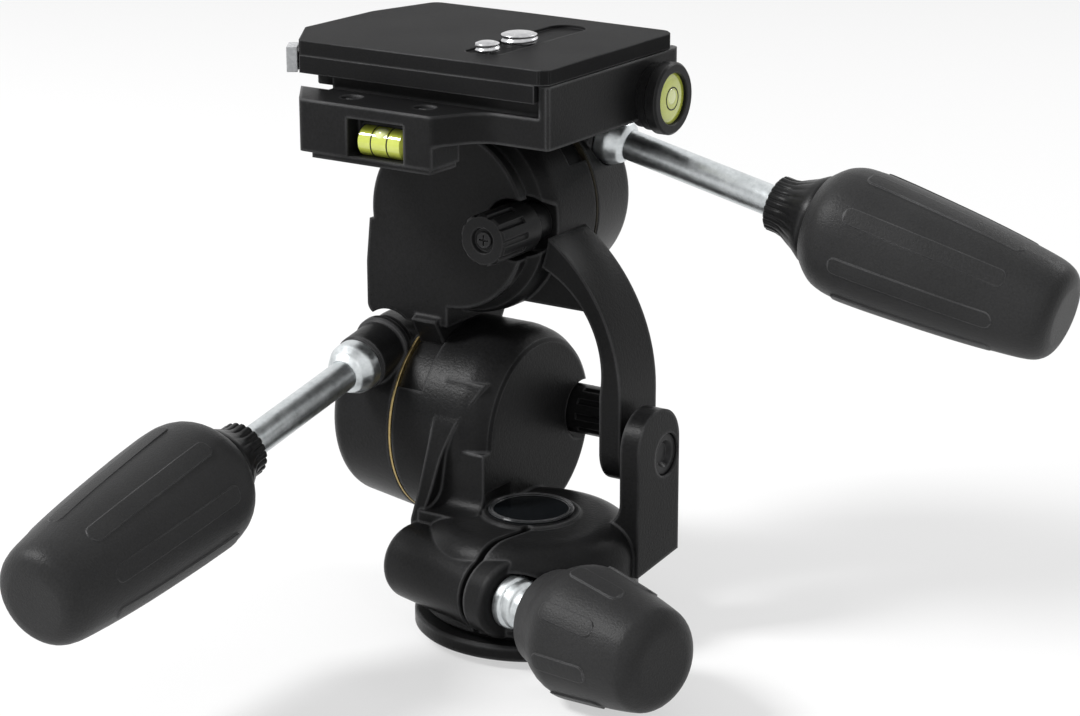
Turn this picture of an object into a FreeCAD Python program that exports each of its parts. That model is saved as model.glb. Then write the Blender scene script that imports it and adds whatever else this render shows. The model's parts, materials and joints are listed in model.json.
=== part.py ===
import FreeCAD, Part
import math
import os

# Three way pan tilt head for a tripod, in millimetres.
# The origin is the centre of the base flange's bottom face and +Z is up. The lower drum turns
# about X, with its handle's cap at -X and the support arm at +X. The upper drum turns about Y,
# with its friction knob at -Y and its handle's cap at +Y. The tilting group is drawn from a datum
# of its own, which stands behind and to the left of the pan axis.

V = FreeCAD.Vector
X = V(1, 0, 0)
Y = V(0, 1, 0)
Z = V(0, 0, 1)
ZERO = V(0, 0, 0)

# ---------------------------------------------------------------- fits
running = 0.05               # radial clearance of a shaft that turns in its hole
smallest_arc = 1.2           # an edge broken by less than this gets a straight chamfer
free_gap = 0.3               # air between pieces that move past each other

# ---------------------------------------------------------------- base and pan bearing
flange_radius = 30.0
flange_height = 3.9
thrust_radius = 25.2
thrust_height = 1.2
spindle_radius = 12.5
stud_radius = 5.0
retainer_radius = 9.7
retainer_height = 1.4
nut_radius = 7.2
nut_height = 4.0
tripod_thread_radius = 4.8   # 3/8 inch
tripod_thread_depth = 15.0

# ---------------------------------------------------------------- pan casting
dome_radius = 27.5
dome_height = 28.6
dome_round = 8.7
bearing_stack = 10.7         # from the spindle's shoulder to the dome's crown, for washer, nut and cap
spindle_height = dome_height - flange_height - bearing_stack
collar_radius = 12.7
collar_step = 0.7
shelf_height = 3.0           # wall that the retaining washer holds down
pocket_radius = 10.0
cap_radius = 11.0
cap_height = 0.9
cap_dish_radius = 9.75
cap_dish_depth = 0.45
cap_room_height = 4.0        # free height over the cap's rim

# ---------------------------------------------------------------- clamp lug and pan knob
clamp_turn = -15.0           # the clamp screw points this many degrees off +X
clamp_offset = 20.8          # from the pan axis to the clamp screw
clamp_level = 15.0
lug_radius = 10.15
lug_left = -24.1
lug_right = 15.9
slit_place = 8.5
slit_width = 1.8
clamp_screw_radius = 4.0
clamp_nut_radius = 6.4
clamp_nut_height = 6.0
shoulder_radius = 6.8
knob_start = 29.9
knob_length = 40.6
knob_root_radius = 12.2
knob_radius = 16.6           # at its widest
knob_tip_radius = 12.6

# ---------------------------------------------------------------- the drum module, used twice
drum_radius = 26.9
shell_length = 21.0
shell_wall = 9.4             # round the cavity
ring_length = 7.7
friction_washer_height = 0.6
end_cap_step = 0.3           # that the end cap stands proud of the shell
end_cap_taper = 2.6
end_cap_length = 21.4
end_cap_round = 5.0
journal_length = 5.0
drum_spindle_radius = 5.0
spindle_anchor = 3.0
spindle_reach = 12.0         # into the end cap
disc_spring_margin = 3.5     # from the cavity's wall
disc_spring_height = 1.2
disc_spring_rise = 0.5
tab_wall = 1.0
tab_start = 61.5             # from the drum's top to the tab that covers the ring
tab_sweep = 177.0
foot_angle = 30.0
foot_proud = 6.9             # of the ring's foot over the drum

friction_edge = 7.0          # from the drum's side to the friction knob's axis
friction_radius = 6.6
friction_proud = 13.0
friction_floor = 1.5         # wall between the knob's pocket and the cavity
friction_pocket_radius = 8.0
friction_notches = 10
friction_screw_radius = 2.1
friction_screw_reach = 4.8

# ---------------------------------------------------------------- where the drums stand
datum = V(-13.4, 20.1, -9.95)  # the tilting group's datum, from the pan axis's foot
tilt_face = 3.2              # x of the lower drum's closed face, from the datum
tilt_level = 53.7
lateral_x = -15.6
lateral_face = -15.0         # y of the upper drum's closed face
lateral_level = 110.6
front_step = 3.3             # of the drums' front face inside their side

# ---------------------------------------------------------------- handles
boss_radius = 7.3
boss_length = 15.0
collar_height = 3.2
handle_collar_radius = 6.9
rod_radius = 4.0
rod_seat = 20.0              # of rod inside the boss
rod_bare = 48.0
grip_neck_length = 13.0
grip_length = 80.3
grip_neck_radius = 7.2
grip_flare_radius = 11.4
grip_radius = 16.8           # at its widest
grip_taper = 3.4
grip_round = 4.0
boss_out = 15.8              # from the ring's joint to the boss's axis, along the drum
boss_reach = 5.1             # of the tilt handle's start beyond the drum
tilt_handle_start = V(tilt_face - shell_length - boss_out, -drum_radius - boss_reach, 72.2) + datum
tilt_handle_skew = 2.8
tilt_handle_drop = 9.3
lateral_boss_out = 19.0
lateral_boss_reach = -1.2    # the start lies just inside the drum's side
lateral_handle_start = V(lateral_x + drum_radius + lateral_boss_reach,
                         lateral_face + shell_length + lateral_boss_out, 127.0) + datum
lateral_handle_skew = 1.6
lateral_handle_drop = 13.1

# ---------------------------------------------------------------- left leg and right upright
pedestal_width = 17.8
wall_inset = 0.3             # of the pedestal's front wall behind the drum's side
wall_fillet = 5.0
upright_outer = 41.5         # from the datum
upright_thickness = 5.5
upright_front = -13.8
upright_rear = 6.0
upright_top = 66.5
upright_bottom = 24.4
upright_root = 36.5          # of the rib between the dome and the upright
pin_radius = 4.0
pin_head_radius = 5.6
pin_head_recess = 0.8

# ---------------------------------------------------------------- tilt bracket
neck_left = -41.2
neck_right = -15.8
neck_rear = 6.0
neck_gap = 0.9               # between the neck and the lower drum
neck_step = 5.0              # height of the neck's wider foot
arm_half_width = 8.7
arm_inner = 26.6
arm_outer = 32.8
arm_root = 9.5
arm_boss_radius = 7.4
web_half_width = 2.4
web_bottom = 88.3

# ---------------------------------------------------------------- platform and quick release
platform_bottom = 137.0
platform_thickness = 7.6
platform_right = 27.4
platform_left = -46.5
platform_front = -33.4
platform_rear = 28.4
wing_front = -45.2
wing_left = -38.4            # at the front, and it spreads to the platform's corner
wing_spread = 1.9
wing_right = 1.5
wing_drop = 5.6
ledge_drop = 7.1
right_wall = 3.0
right_wall_rise = 8.0
deck_rise = 3.7
plate_flange = 3.8
plate_front = -34.7
plate_corner = -46.3         # x of the front left corner
plate_left = -55.6
plate_bend = -20.0           # y where the slanted edge ends
plate_wall = 3.2             # thickness of the wall in front
plate_rear = 26.2
plate_gap = 0.1
large_screw_radius = 4.76    # 3/8 inch
small_screw_radius = 3.17    # 1/4 inch
screw_proud = 2.6
screw_chamfer = 0.5
camera_screw_x = 1.5
large_screw_y = -7.0
small_screw_y = -21.0
screw_neck = 0.7             # undercut that keeps a camera screw in the plate
camera_head_radius = 6.6
camera_head_height = 2.6
level_y = 15.0
level_rise = 5.0
level_radius = 9.2
glass_radius = 6.55
level_length = 6.0
vial_radius = 3.85
vial_x = -15.3
vial_drop = 1.7              # of the vial's axis under the platform's bottom
vial_length = 14.0
window_drop = 0.4
window_length = 17.0
window_height = 9.6
lever_x = -44.0
lever_y = 18.0
lever_radius = 4.6
lever_rise = 4.6
lever_pin_radius = 2.0
lever_tip_width = 3.2
lever_tip_drop = 2.0         # of the tip under the plate's top
wing_screw_x = (-28.4, -6.2)
wing_screw_y = -37.0
wing_screw_radius = 2.4
wing_screw_sink = 1.6


# ================================================================ drawing helpers
def loop(points, at):
    """Closed wire through corners (a, b) or (a, b, radius), where a radius breaks or rounds the corner."""
    count = len(points)
    corners = []
    for i, point in enumerate(points):
        here = V(point[0], point[1], 0)
        before = V(points[i - 1][0], points[i - 1][1], 0)
        after = V(points[(i + 1) % count][0], points[(i + 1) % count][1], 0)
        if len(point) == 2:
            corners.append((here, None, here))
            continue
        back = (before - here).normalize()
        ahead = (after - here).normalize()
        if point[2] < smallest_arc:
            corners.append((here + back * point[2] * 0.7, None, here + ahead * point[2] * 0.7))
            continue
        half = back.getAngle(ahead) / 2
        cut = point[2] / math.tan(half)
        middle = here + (back + ahead).normalize() * (point[2] / math.sin(half) - point[2])
        corners.append((here + back * cut, middle, here + ahead * cut))
    edges = []
    for i, (start, middle, stop) in enumerate(corners):
        following = corners[(i + 1) % count][0]
        if middle is not None:
            edges.append(Part.Arc(at(start), at(middle), at(stop)).toShape())
        elif start.distanceToPoint(stop) > 1e-5:
            edges.append(Part.LineSegment(at(start), at(stop)).toShape())
        if stop.distanceToPoint(following) > 1e-5:
            edges.append(Part.LineSegment(at(stop), at(following)).toShape())
    return Part.Wire(edges)


def turned(points):
    """Solid of revolution about Z from corners (radius, height)."""
    face = Part.Face(loop(points, lambda p: V(p.x, 0, p.y)))
    return face.revolve(ZERO, Z, 360)


def prism_xy(points, low, high):
    return Part.Face(loop(points, lambda p: V(p.x, p.y, low))).extrude(Z * (high - low))


def prism_xz(points, low, high):
    return Part.Face(loop(points, lambda p: V(p.x, low, p.y))).extrude(Y * (high - low))


def prism_yz(points, low, high):
    return Part.Face(loop(points, lambda p: V(low, p.x, p.y))).extrude(X * (high - low))


def box(x0, x1, y0, y1, z0, z1):
    return Part.makeBox(x1 - x0, y1 - y0, z1 - z0, V(x0, y0, z0))


def cylinder(radius, start, direction, length):
    return Part.makeCylinder(radius, length, start, direction)


def hexagon(radius, start, length):
    corners = [(radius * math.cos(k * math.pi / 3), radius * math.sin(k * math.pi / 3)) for k in range(6)]
    solid = prism_xy(corners, 0, length)
    solid.translate(start)
    return solid


def along(shape, origin, direction):
    """Carries a shape made about Z to stand at origin and point along direction."""
    moved = shape.copy()
    moved.Placement = FreeCAD.Placement(origin, FreeCAD.Rotation(Z, direction)).multiply(moved.Placement)
    return moved


def framed(shape, origin, u, w):
    """Carries a shape from its own frame to one with local x along u and local z along w."""
    v = w.cross(u)
    matrix = FreeCAD.Matrix(u.x, v.x, w.x, origin.x, u.y, v.y, w.y, origin.y,
                            u.z, v.z, w.z, origin.z, 0, 0, 0, 1)
    moved = shape.copy()
    moved.Placement = FreeCAD.Placement(matrix).multiply(moved.Placement)
    return moved


def swung(shape, degrees):
    """The shape turned about the pan axis."""
    moved = shape.copy()
    moved.rotate(ZERO, Z, degrees)
    return moved


def joined(first, *others):
    return first.fuse(list(others)).removeSplitter()


def less(shape, *cutters):
    return shape.cut(list(cutters)).removeSplitter()


def placed(shape):
    """Carries a shape of the tilting group from its datum to its place."""
    moved = shape.copy()
    moved.translate(datum)
    return moved


# ================================================================ values that follow
casting_floor = flange_height + thrust_height + running
spindle_top = flange_height + spindle_height
shelf_bottom = spindle_top + free_gap
shelf_top = shelf_bottom + shelf_height
retainer_bottom = shelf_top + running
nut_bottom = retainer_bottom + retainer_height
stud_top = nut_bottom + nut_height + 0.8
dome_top = dome_height + collar_step

ring_start = shell_length + free_gap
ring_end = ring_start + ring_length
cap_start = ring_end + friction_washer_height
drum_length = cap_start + end_cap_length
journal_start = ring_start - journal_length
springs_height = 2 * (disc_spring_height + disc_spring_rise)
cavity_depth = journal_start - springs_height - free_gap - 0.1
cavity_radius = drum_radius - shell_wall
disc_spring_radius = cavity_radius - disc_spring_margin
tab_inner = drum_radius - tab_wall
ring_radius = tab_inner - free_gap
end_cap_radius = drum_radius + end_cap_step
friction_offset = drum_radius - friction_edge
friction_depth = cavity_depth - friction_floor
foot_reach = drum_radius + foot_proud

tilt_origin = V(tilt_face, 0, tilt_level) + datum
lateral_origin = V(lateral_x, lateral_face, lateral_level) + datum
drum_front = tilt_origin.y - drum_radius
pedestal_left = tilt_origin.x - pedestal_width
upright_inner = upright_outer - upright_thickness
neck_bottom = tilt_level + end_cap_radius + neck_gap
platform_top = platform_bottom + platform_thickness
deck_top = platform_top + deck_rise
right_wall_top = platform_top + right_wall_rise
plate_bottom = deck_top + plate_gap
plate_ledge = right_wall_top + free_gap
plate_top = plate_ledge + plate_flange
level_z = platform_bottom + level_rise
vial_z = platform_bottom - vial_drop
lever_bottom = platform_bottom + lever_rise
lever_top = plate_ledge - 0.5


def tilt_drum(shape):
    """Local x points at the viewer's side (-Y), local z to the handle's cap (-X)."""
    return framed(shape, tilt_origin, V(0, -1, 0), V(-1, 0, 0))


def lateral_drum(shape):
    """Local x points to -X, local z to the handle's cap (+Y)."""
    return framed(shape, lateral_origin, V(-1, 0, 0), Y)


def handle_direction(skew, drop, forward, side):
    level = forward * math.cos(math.radians(skew)) + side * math.sin(math.radians(skew))
    return level * math.cos(math.radians(drop)) - Z * math.sin(math.radians(drop))


tilt_handle_way = handle_direction(tilt_handle_skew, tilt_handle_drop, V(0, -1, 0), X)
lateral_handle_way = handle_direction(lateral_handle_skew, lateral_handle_drop, X, Y)


# ================================================================ base
def base_flange():
    disc = turned([(0, 0), (flange_radius, 0, 0.6), (flange_radius, flange_height, 0.8),
                   (spindle_radius, flange_height), (spindle_radius, spindle_top, 0.6),
                   (stud_radius, spindle_top), (stud_radius, stud_top, 0.5), (0, stud_top)])
    return less(disc, cylinder(tripod_thread_radius, ZERO, Z, tripod_thread_depth))


def thrust_washer():
    return turned([(spindle_radius + running, flange_height), (thrust_radius, flange_height),
                   (thrust_radius, flange_height + thrust_height),
                   (spindle_radius + running, flange_height + thrust_height)])


def retaining_washer():
    return turned([(stud_radius, retainer_bottom), (retainer_radius, retainer_bottom, 0.3),
                   (retainer_radius, nut_bottom, 0.3), (stud_radius, nut_bottom)])


def retaining_nut():
    nut = hexagon(nut_radius, V(0, 0, nut_bottom), nut_height)
    return less(nut, cylinder(stud_radius, V(0, 0, nut_bottom), Z, nut_height))


# ================================================================ drum pieces, in the drum's frame
def sector(inner, outer, low, high, start, sweep):
    """Ring segment about Z, from start degrees through sweep degrees."""
    outside = Part.makeCylinder(outer, high - low, V(0, 0, low), Z, sweep)
    segment = outside.cut(Part.makeCylinder(inner, high - low, V(0, 0, low)))
    segment.rotate(ZERO, Z, start)
    return segment


def drum_tab(mirror):
    """The part of the fixed shell that covers the turning ring."""
    start = 90 - tab_start - tab_sweep
    if mirror:
        start = 90 + tab_start
    return sector(tab_inner, drum_radius, shell_length - 2, ring_end - free_gap, start, tab_sweep)


def drum_foot_space():
    """Room in the fixed shell for the ring."""
    return cylinder(tab_inner, V(0, 0, shell_length), Z, ring_length + 1)


def drum_hollows():
    """Cavity, spindle anchor, friction knob's pocket and screw hole in the fixed shell."""
    cavity = cylinder(cavity_radius, V(0, 0, cavity_depth), Z, shell_length)
    anchor = cylinder(drum_spindle_radius, V(0, 0, spindle_anchor), Z, cavity_depth)
    pocket = cylinder(friction_pocket_radius, V(-friction_offset, 0, -1), Z, friction_depth + 1)
    screw = cylinder(friction_screw_radius + running, V(-friction_offset, 0, friction_depth - 1), Z,
                     friction_screw_reach + 1)
    return [cavity, anchor, pocket, screw]


def drum_ring():
    """Turning disc with the journal that runs in the fixed shell's cavity."""
    bore = drum_spindle_radius + running
    return turned([(bore, journal_start), (cavity_radius - running, journal_start, 0.5),
                   (cavity_radius - running, ring_start), (ring_radius, ring_start),
                   (ring_radius, ring_end), (bore, ring_end)])


def drum_foot():
    """Segment that carries the ring out through the gap in the tab."""
    return sector(ring_radius, foot_reach, ring_start, ring_end, 90 - foot_angle, 2 * foot_angle)


def drum_spindle():
    top = cap_start + spindle_reach
    return turned([(0, spindle_anchor), (drum_spindle_radius, spindle_anchor),
                   (drum_spindle_radius, top, 0.6), (0, top)])


def drum_springs():
    """Two dished springs back to back on the cavity's floor."""
    bore = drum_spindle_radius + running
    rise = disc_spring_rise
    low = cavity_depth
    first = turned([(bore, low + rise), (disc_spring_radius, low),
                    (disc_spring_radius, low + disc_spring_height),
                    (bore, low + rise + disc_spring_height)])
    low = low + disc_spring_height + rise
    wide = bore + 0.3
    second = turned([(wide, low), (disc_spring_radius, low + rise),
                     (disc_spring_radius, low + rise + disc_spring_height - 0.2),
                     (wide, low + disc_spring_height - 0.2)])
    return Part.makeCompound([first, second])


def friction_washer():
    bore = drum_spindle_radius + running
    return turned([(bore, ring_end), (end_cap_radius - 0.2, ring_end),
                   (end_cap_radius - 0.2, cap_start), (bore, cap_start)])


def end_cap():
    bore = drum_spindle_radius + running
    hole_top = cap_start + spindle_reach + free_gap
    return turned([(bore, cap_start), (end_cap_radius, cap_start, 0.3),
                   (end_cap_radius - end_cap_taper, drum_length, end_cap_round), (0, drum_length),
                   (0, hole_top), (bore, hole_top)])


def friction_knob():
    """Notched knob on a screw, with a recessed centre."""
    low = -friction_proud
    body = turned([(0, low + 1.2), (2.9, low + 1.2), (3.3, low, 0.2), (friction_radius, low, 0.8),
                   (friction_radius, 4.0, 0.5), (friction_radius - 1.4, 5.0, 0.5),
                   (friction_radius - 1.4, friction_depth - free_gap), (0, friction_depth - free_gap)])
    notches = []
    for k in range(friction_notches):
        angle = 2 * math.pi * k / friction_notches
        centre = V(math.cos(angle), math.sin(angle), 0) * (friction_radius + 0.35)
        notches.append(cylinder(0.95, centre + V(0, 0, low - 1), Z, 12))
    knob = less(body, *notches)
    knob = less(knob, cylinder(friction_screw_radius, V(0, 0, low), Z, 40))
    knob.translate(V(-friction_offset, 0, 0))
    return knob


def friction_screw():
    """Screw with a cross-recessed head sunk in the knob's centre."""
    low = -friction_proud + 0.5
    shaft = turned([(0, low), (friction_screw_radius, low, 0.3),
                    (friction_screw_radius, friction_depth + friction_screw_reach - free_gap, 0.5),
                    (0, friction_depth + friction_screw_reach - free_gap)])
    slots = [box(-1.4, 1.4, -0.25, 0.25, low - 0.1, low + 0.7), box(-0.25, 0.25, -1.4, 1.4, low - 0.1, low + 0.7)]
    shaft = less(shaft, *slots)
    shaft.translate(V(-friction_offset, 0, 0))
    return shaft


def handled_cap(place, start, way):
    """End cap with the boss that the handle screws into."""
    seat = start - way * (boss_length + collar_height)
    boss = along(turned([(0, 0), (boss_radius, 0, 0.6), (boss_radius, boss_length, 0.9), (0, boss_length)]),
                 seat, way)
    ridge = along(turned([(0, 0), (boss_radius + 0.9, 0, 0.4), (boss_radius + 0.9, 2.2, 0.4), (0, 2.2)]),
                  seat + way * 2.5, way)
    cap = joined(place(end_cap()), boss, ridge)
    rod_hole = cylinder(rod_radius + running, start - way * (rod_seat + 0.5), way, rod_seat + 5)
    collar_room = cylinder(handle_collar_radius + free_gap + 0.1, start - way * collar_height, way, 12)
    washer_room = place(cylinder(drum_radius * 3, ZERO, Z, cap_start))
    return less(cap, rod_hole, collar_room, washer_room)


# ================================================================ pan casting
def dome():
    return turned([(0, casting_floor), (dome_radius, casting_floor, 0.8),
                   (dome_radius, dome_height - 0.6, dome_round), (collar_radius, dome_height),
                   (collar_radius, dome_top, 0.3), (0, dome_top)])


def clamp_lug():
    """Two-part clamp boss at the front of the dome, along the clamp screw."""
    length = lug_right - lug_left
    boss = along(turned([(0, 0), (lug_radius, 0, 3.5), (lug_radius, length, 1.2), (0, length)]),
                 V(lug_left, -clamp_offset, clamp_level), X)
    root = box(lug_left + 2, lug_right - 2, -clamp_offset, -4,
               clamp_level - lug_radius + 1.2, clamp_level + lug_radius - 0.8)
    return swung(joined(boss, root), clamp_turn)


def clamp_cuts():
    """Slit, screw hole and nut pocket of the clamp."""
    slit = box(slit_place - slit_width / 2, slit_place + slit_width / 2,
               -clamp_offset - lug_radius - 1, -8.0, 0, dome_top + 1)
    hole = cylinder(clamp_screw_radius + running, V(lug_left - 1, -clamp_offset, clamp_level), X,
                    lug_right - lug_left + 2)
    nut = along(hexagon(clamp_nut_radius, ZERO, clamp_nut_height), V(lug_left, -clamp_offset, clamp_level), X)
    spot_face = cylinder(shoulder_radius + 0.6, V(lug_right, -clamp_offset, clamp_level), X, 20)
    return [swung(cutter, clamp_turn) for cutter in (slit, hole, nut, spot_face)]


def pedestal():
    """Block under the lower drum, its front wall rounded into the dome's top."""
    foot = dome_height - dome_round
    wall = drum_front + wall_inset
    block = box(pedestal_left, tilt_origin.x, wall, tilt_origin.y, foot, tilt_origin.z)
    fillet = prism_yz([(wall - wall_fillet - 2, dome_height - 0.3), (wall - wall_fillet - 2, foot), (wall + 1, foot),
                       (wall + 1, dome_height + wall_fillet + 2), (wall, dome_height + wall_fillet + 2),
                       (wall, dome_height - 0.3, wall_fillet)], pedestal_left + 2, tilt_origin.x)
    return block.fuse(fillet)


def pedestal_rib():
    """Rib in front of the wall, wide on the drum and narrow where it stands on the clamp lug."""
    front = prism_xz([(-28.4, 20.0), (-25.4, 20.0), (-25.4, 25.6), (-23.6, 31.8, 40.0), (-22.0, 42.0, 30.0),
                      (-18.6, 51.5, 30.0), (-13.2, 60.5), (-25.1, 60.5), (-26.3, 46.0, 60.0),
                      (-27.4, 32.0, 40.0), (-28.4, 25.0)], drum_front - 12, drum_front + 8)
    side = prism_yz([(drum_front - 6.4, 20.0), (drum_front - 6.4, 25.6, 4.0), (drum_front + 0.3, 50.0, 12.0),
                     (drum_front + 5.6, 60.5), (drum_front + 8, 60.5), (drum_front + 8, 20.0)], -40, 0)
    return front.common(side)


def upright():
    """Plate that carries the support arm's pin, with the rib that joins it to the dome."""
    plate = prism_yz([(upright_front, upright_bottom), (upright_rear, upright_bottom + 2.1),
                      (upright_rear, upright_top, 9.5), (upright_front, upright_top, 9.5)],
                     upright_inner, upright_outer)
    root = prism_xz([(upright_inner - 14, upright_bottom + 3), (upright_inner + 1, upright_bottom + 3),
                     (upright_inner + 1, upright_root + 9), (upright_inner, upright_root + 9),
                     (upright_inner, upright_root, 7.0), (upright_inner - 14, upright_root)],
                    upright_front, upright_rear - 9)
    return placed(plate.fuse(root))


def drum_profile(radius):
    """The fixed shell's outline on its closed side, from the face's edge to the full radius."""
    return [(radius - front_step, 0, 1.1), (radius - 1.0, 3.4, 8.0), (radius, 8.0, 12.0)]


def pan_casting():
    shell = turned([(0, 0)] + drum_profile(drum_radius) + [(drum_radius, shell_length), (0, shell_length)])
    body = joined(dome(), clamp_lug(), pedestal(), pedestal_rib(), upright(),
                  tilt_drum(shell), tilt_drum(drum_tab(False)))
    bore = cylinder(spindle_radius + running, V(0, 0, casting_floor - 1), Z, shelf_bottom - casting_floor + 1)
    shelf = cylinder(stud_radius + free_gap, V(0, 0, casting_floor), Z, shelf_top)
    pocket = cylinder(pocket_radius, V(0, 0, shelf_top), Z, dome_top - shelf_top)
    over_cap = cylinder(cap_radius + 0.8, V(0, 0, dome_top), Z, cap_room_height)
    pin = placed(cylinder(pin_head_radius, V(upright_inner - 1, 0, tilt_level), X, upright_thickness + 2))
    washer_room = cylinder(thrust_radius + free_gap, V(0, 0, flange_height), Z, thrust_height + running)
    room = [tilt_drum(cutter) for cutter in drum_hollows()]
    return less(body, bore, shelf, pocket, over_cap, pin, washer_room, tilt_drum(drum_foot_space()),
                *clamp_cuts(), *room)


def pan_cap():
    """Round cap that closes the pocket over the retaining nut."""
    skirt = pocket_radius
    return turned([(0, dome_top - 1.5), (skirt, dome_top - 1.5), (skirt, dome_top),
                   (cap_radius, dome_top), (cap_radius, dome_top + cap_height, 0.4),
                   (cap_dish_radius + 0.3, dome_top + cap_height, 0.2),
                   (cap_dish_radius, dome_top + cap_height - cap_dish_depth),
                   (0, dome_top + cap_height - cap_dish_depth)])


def pivot_pin():
    """Steel pin of the support arm, its dished head sunk in the upright."""
    head = turned([(0, 0), (pin_radius, 0, 0.5), (pin_radius, upright_inner - arm_inner),
                   (pin_head_radius, upright_inner - arm_inner),
                   (pin_head_radius, upright_outer - arm_inner - pin_head_recess, 0.6),
                   (3.6, upright_outer - arm_inner - pin_head_recess, 0.2),
                   (2.6, upright_outer - arm_inner - pin_head_recess - 1.2),
                   (0, upright_outer - arm_inner - pin_head_recess - 1.2)])
    return placed(along(head, V(arm_inner, 0, tilt_level), X))


def clamp_nut():
    nut = along(hexagon(clamp_nut_radius, ZERO, clamp_nut_height), V(lug_left, -clamp_offset, clamp_level), X)
    hole = cylinder(clamp_screw_radius + running, V(lug_left - 1, -clamp_offset, clamp_level), X,
                    clamp_nut_height + 2)
    return swung(less(nut, hole), clamp_turn)


# ================================================================ pan lock
def clamp_axis(shape, place):
    """Stands a shape made about Z on the clamp screw's axis, at a place along it."""
    return swung(along(shape, V(place, -clamp_offset, clamp_level), X), clamp_turn)


def clamp_screw():
    """Zinc plated screw with its stepped shoulder."""
    start = lug_left + 1.0
    face = lug_right + free_gap - start
    end = knob_start + 24.0 - start
    shape = turned([(0, 0), (clamp_screw_radius, 0, 0.8), (clamp_screw_radius, face), (shoulder_radius, face, 0.4),
                    (shoulder_radius, face + 2.6, 0.5), (6.2, face + 3.0), (6.2, face + 5.2, 0.5),
                    (5.2, face + 6.0, 0.5), (4.9, knob_start - start), (4.9, end, 0.5), (0, end)])
    return clamp_axis(shape, start)


def ribbed(profile, proud, rib_count, rib_start, rib_end, rib_width, turn):
    """Turned body with long raised ribs that follow its side."""
    body = turned(profile)
    raised = turned([(r + (proud if r > 0 else 0), z) + tuple(rest) for r, z, *rest in profile])
    ribs = []
    for k in range(rib_count):
        rib = prism_yz([(-rib_width / 2, rib_start, rib_width * 0.3), (rib_width / 2, rib_start, rib_width * 0.3),
                        (rib_width / 2, rib_end, rib_width * 0.3), (-rib_width / 2, rib_end, rib_width * 0.3)], 6, 40)
        rib.rotate(ZERO, Z, turn + 360 * k / rib_count)
        ribs.append(raised.common(rib))
    return body.fuse(ribs)


def pan_knob():
    """Tapered knob with a narrower skirt at the screw's end."""
    profile = [(0, 0), (knob_root_radius, 0, 1.1), (knob_root_radius + 1.0, 4.9), (knob_radius - 1.6, 7.9),
               (knob_radius - 0.4, 10.7), (knob_radius, 13.4), (knob_radius - 0.4, 16.4),
               (knob_radius - 1.9, 28.0), (knob_tip_radius + 0.7, knob_length - 5.0),
               (knob_tip_radius, knob_length - 3.0), (knob_tip_radius - 2.2, knob_length - 0.9),
               (knob_tip_radius - 4.4, knob_length), (0, knob_length)]
    body = ribbed(profile, 0.4, 8, 12.0, knob_length - 12.0, 4.2, 10.0)
    hole = cylinder(4.9, V(0, 0, -1), Z, 25.0)
    return clamp_axis(less(body, hole), knob_start)


# ================================================================ handles
def handle_rod():
    length = rod_seat + rod_bare + grip_length * 0.5
    return turned([(0, -rod_seat), (rod_radius, -rod_seat, 0.8), (rod_radius, length - rod_seat, 0.8),
                   (0, length - rod_seat)])


def handle_collar():
    """Zinc plated dome that meets the boss."""
    return turned([(rod_radius, -collar_height + free_gap), (handle_collar_radius, -collar_height + free_gap, 0.5),
                   (handle_collar_radius, 0.4, 2.2), (5.4, 3.4, 1.6), (rod_radius, 4.6)])


def handle_neck():
    """Flared sleeve where the rod enters the grip."""
    top = rod_bare + grip_neck_length
    return turned([(rod_radius, rod_bare), (grip_neck_radius, rod_bare, 0.8), (grip_neck_radius, rod_bare + 3.0),
                   (grip_neck_radius + 1.4, rod_bare + 7.0), (grip_flare_radius, top - 1.0), (grip_flare_radius, top),
                   (rod_radius, top)])


def handle_grip():
    """Pear shaped grip with raised ribs along its taper."""
    low = rod_bare + grip_neck_length
    high = rod_bare + grip_length
    profile = [(0, low), (grip_flare_radius + 1.0, low, 0.6), (grip_radius - 1.5, low + 3.6),
               (grip_radius - 0.3, low + 7.0), (grip_radius, low + 10.5), (grip_radius, low + 14.0),
               (grip_radius - 0.3, low + 22.0), (grip_radius - 1.6, low + 43.0), (grip_radius - grip_taper, high - 8.0),
               (grip_radius - grip_taper - 1.2, high - 3.2), (grip_radius - grip_taper - 3.0, high - 0.9),
               (grip_radius - grip_taper - 5.4, high), (0, high)]
    body = ribbed(profile, 0.4, 8, low + 14.0, high - 14.0, 5.0, 0)
    return less(body, cylinder(rod_radius, V(0, 0, low - 1), Z, rod_bare + grip_length * 0.5 - low + 1))


def on_handle(shape, start, way):
    return along(shape, start, way)


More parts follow.
